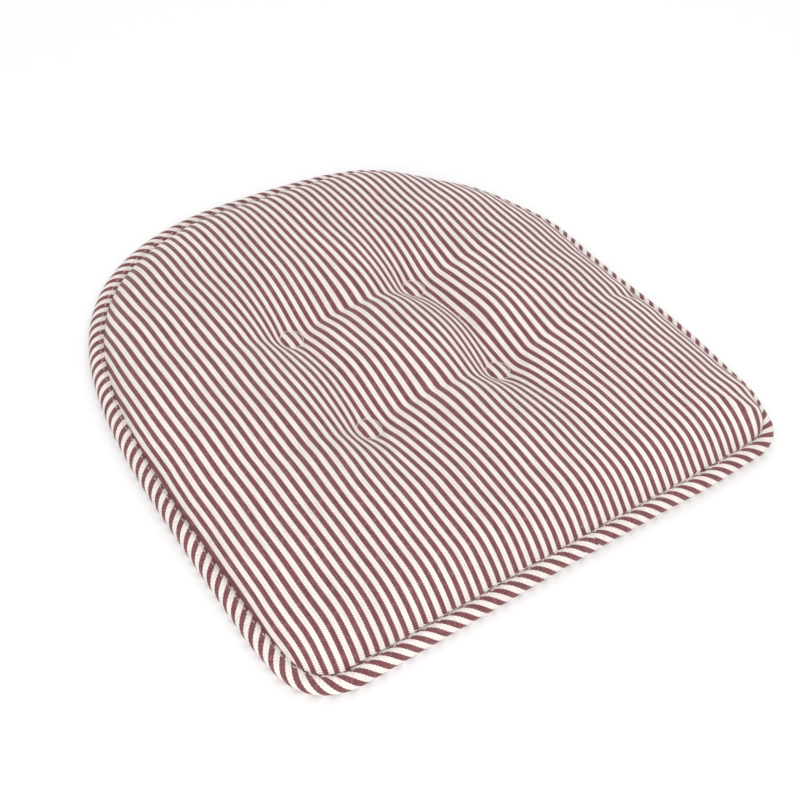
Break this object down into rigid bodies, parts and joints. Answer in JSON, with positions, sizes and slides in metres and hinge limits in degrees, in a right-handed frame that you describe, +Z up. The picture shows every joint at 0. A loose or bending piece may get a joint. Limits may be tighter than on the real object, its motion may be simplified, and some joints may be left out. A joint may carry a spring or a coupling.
{
  "type": "chair seat pad",
  "caption": "U-shaped chair cushion in striped cotton ticking, piped round the edge and held down by round thread tufts, with a slip-resistant base",
  "frame": {"origin": "middle of the plan, on the surface the pad rests on", "axes": "+X along the straight front edge, to the right of a person facing the rounded back; +Y to the rounded back; +Z up through the crown"},
  "size_m": [0.406, 0.431, 0.033],
  "materials": {
    "striped_ticking": "matte",
    "striped_bias": "matte",
    "grip_backing": "matte",
    "polyester_fibre": "matte",
    "foam": "matte",
    "cotton_cord": "matte",
    "sewing_thread": "matte"
  },
  "bodies": {
    "root": {"top_cover": "striped_ticking", "fibre_wadding": "polyester_fibre", "foam_core": "foam", "bottom_cover": "grip_backing", "piping_cover": "striped_bias", "piping_cord": "cotton_cord", "seam_thread": "sewing_thread", "tuft_tack_rear_left": "sewing_thread", "tuft_tack_rear_right": "sewing_thread", "tuft_tack_front_left": "sewing_thread", "tuft_tack_front_right": "sewing_thread"}
  },
  "joints": []
}
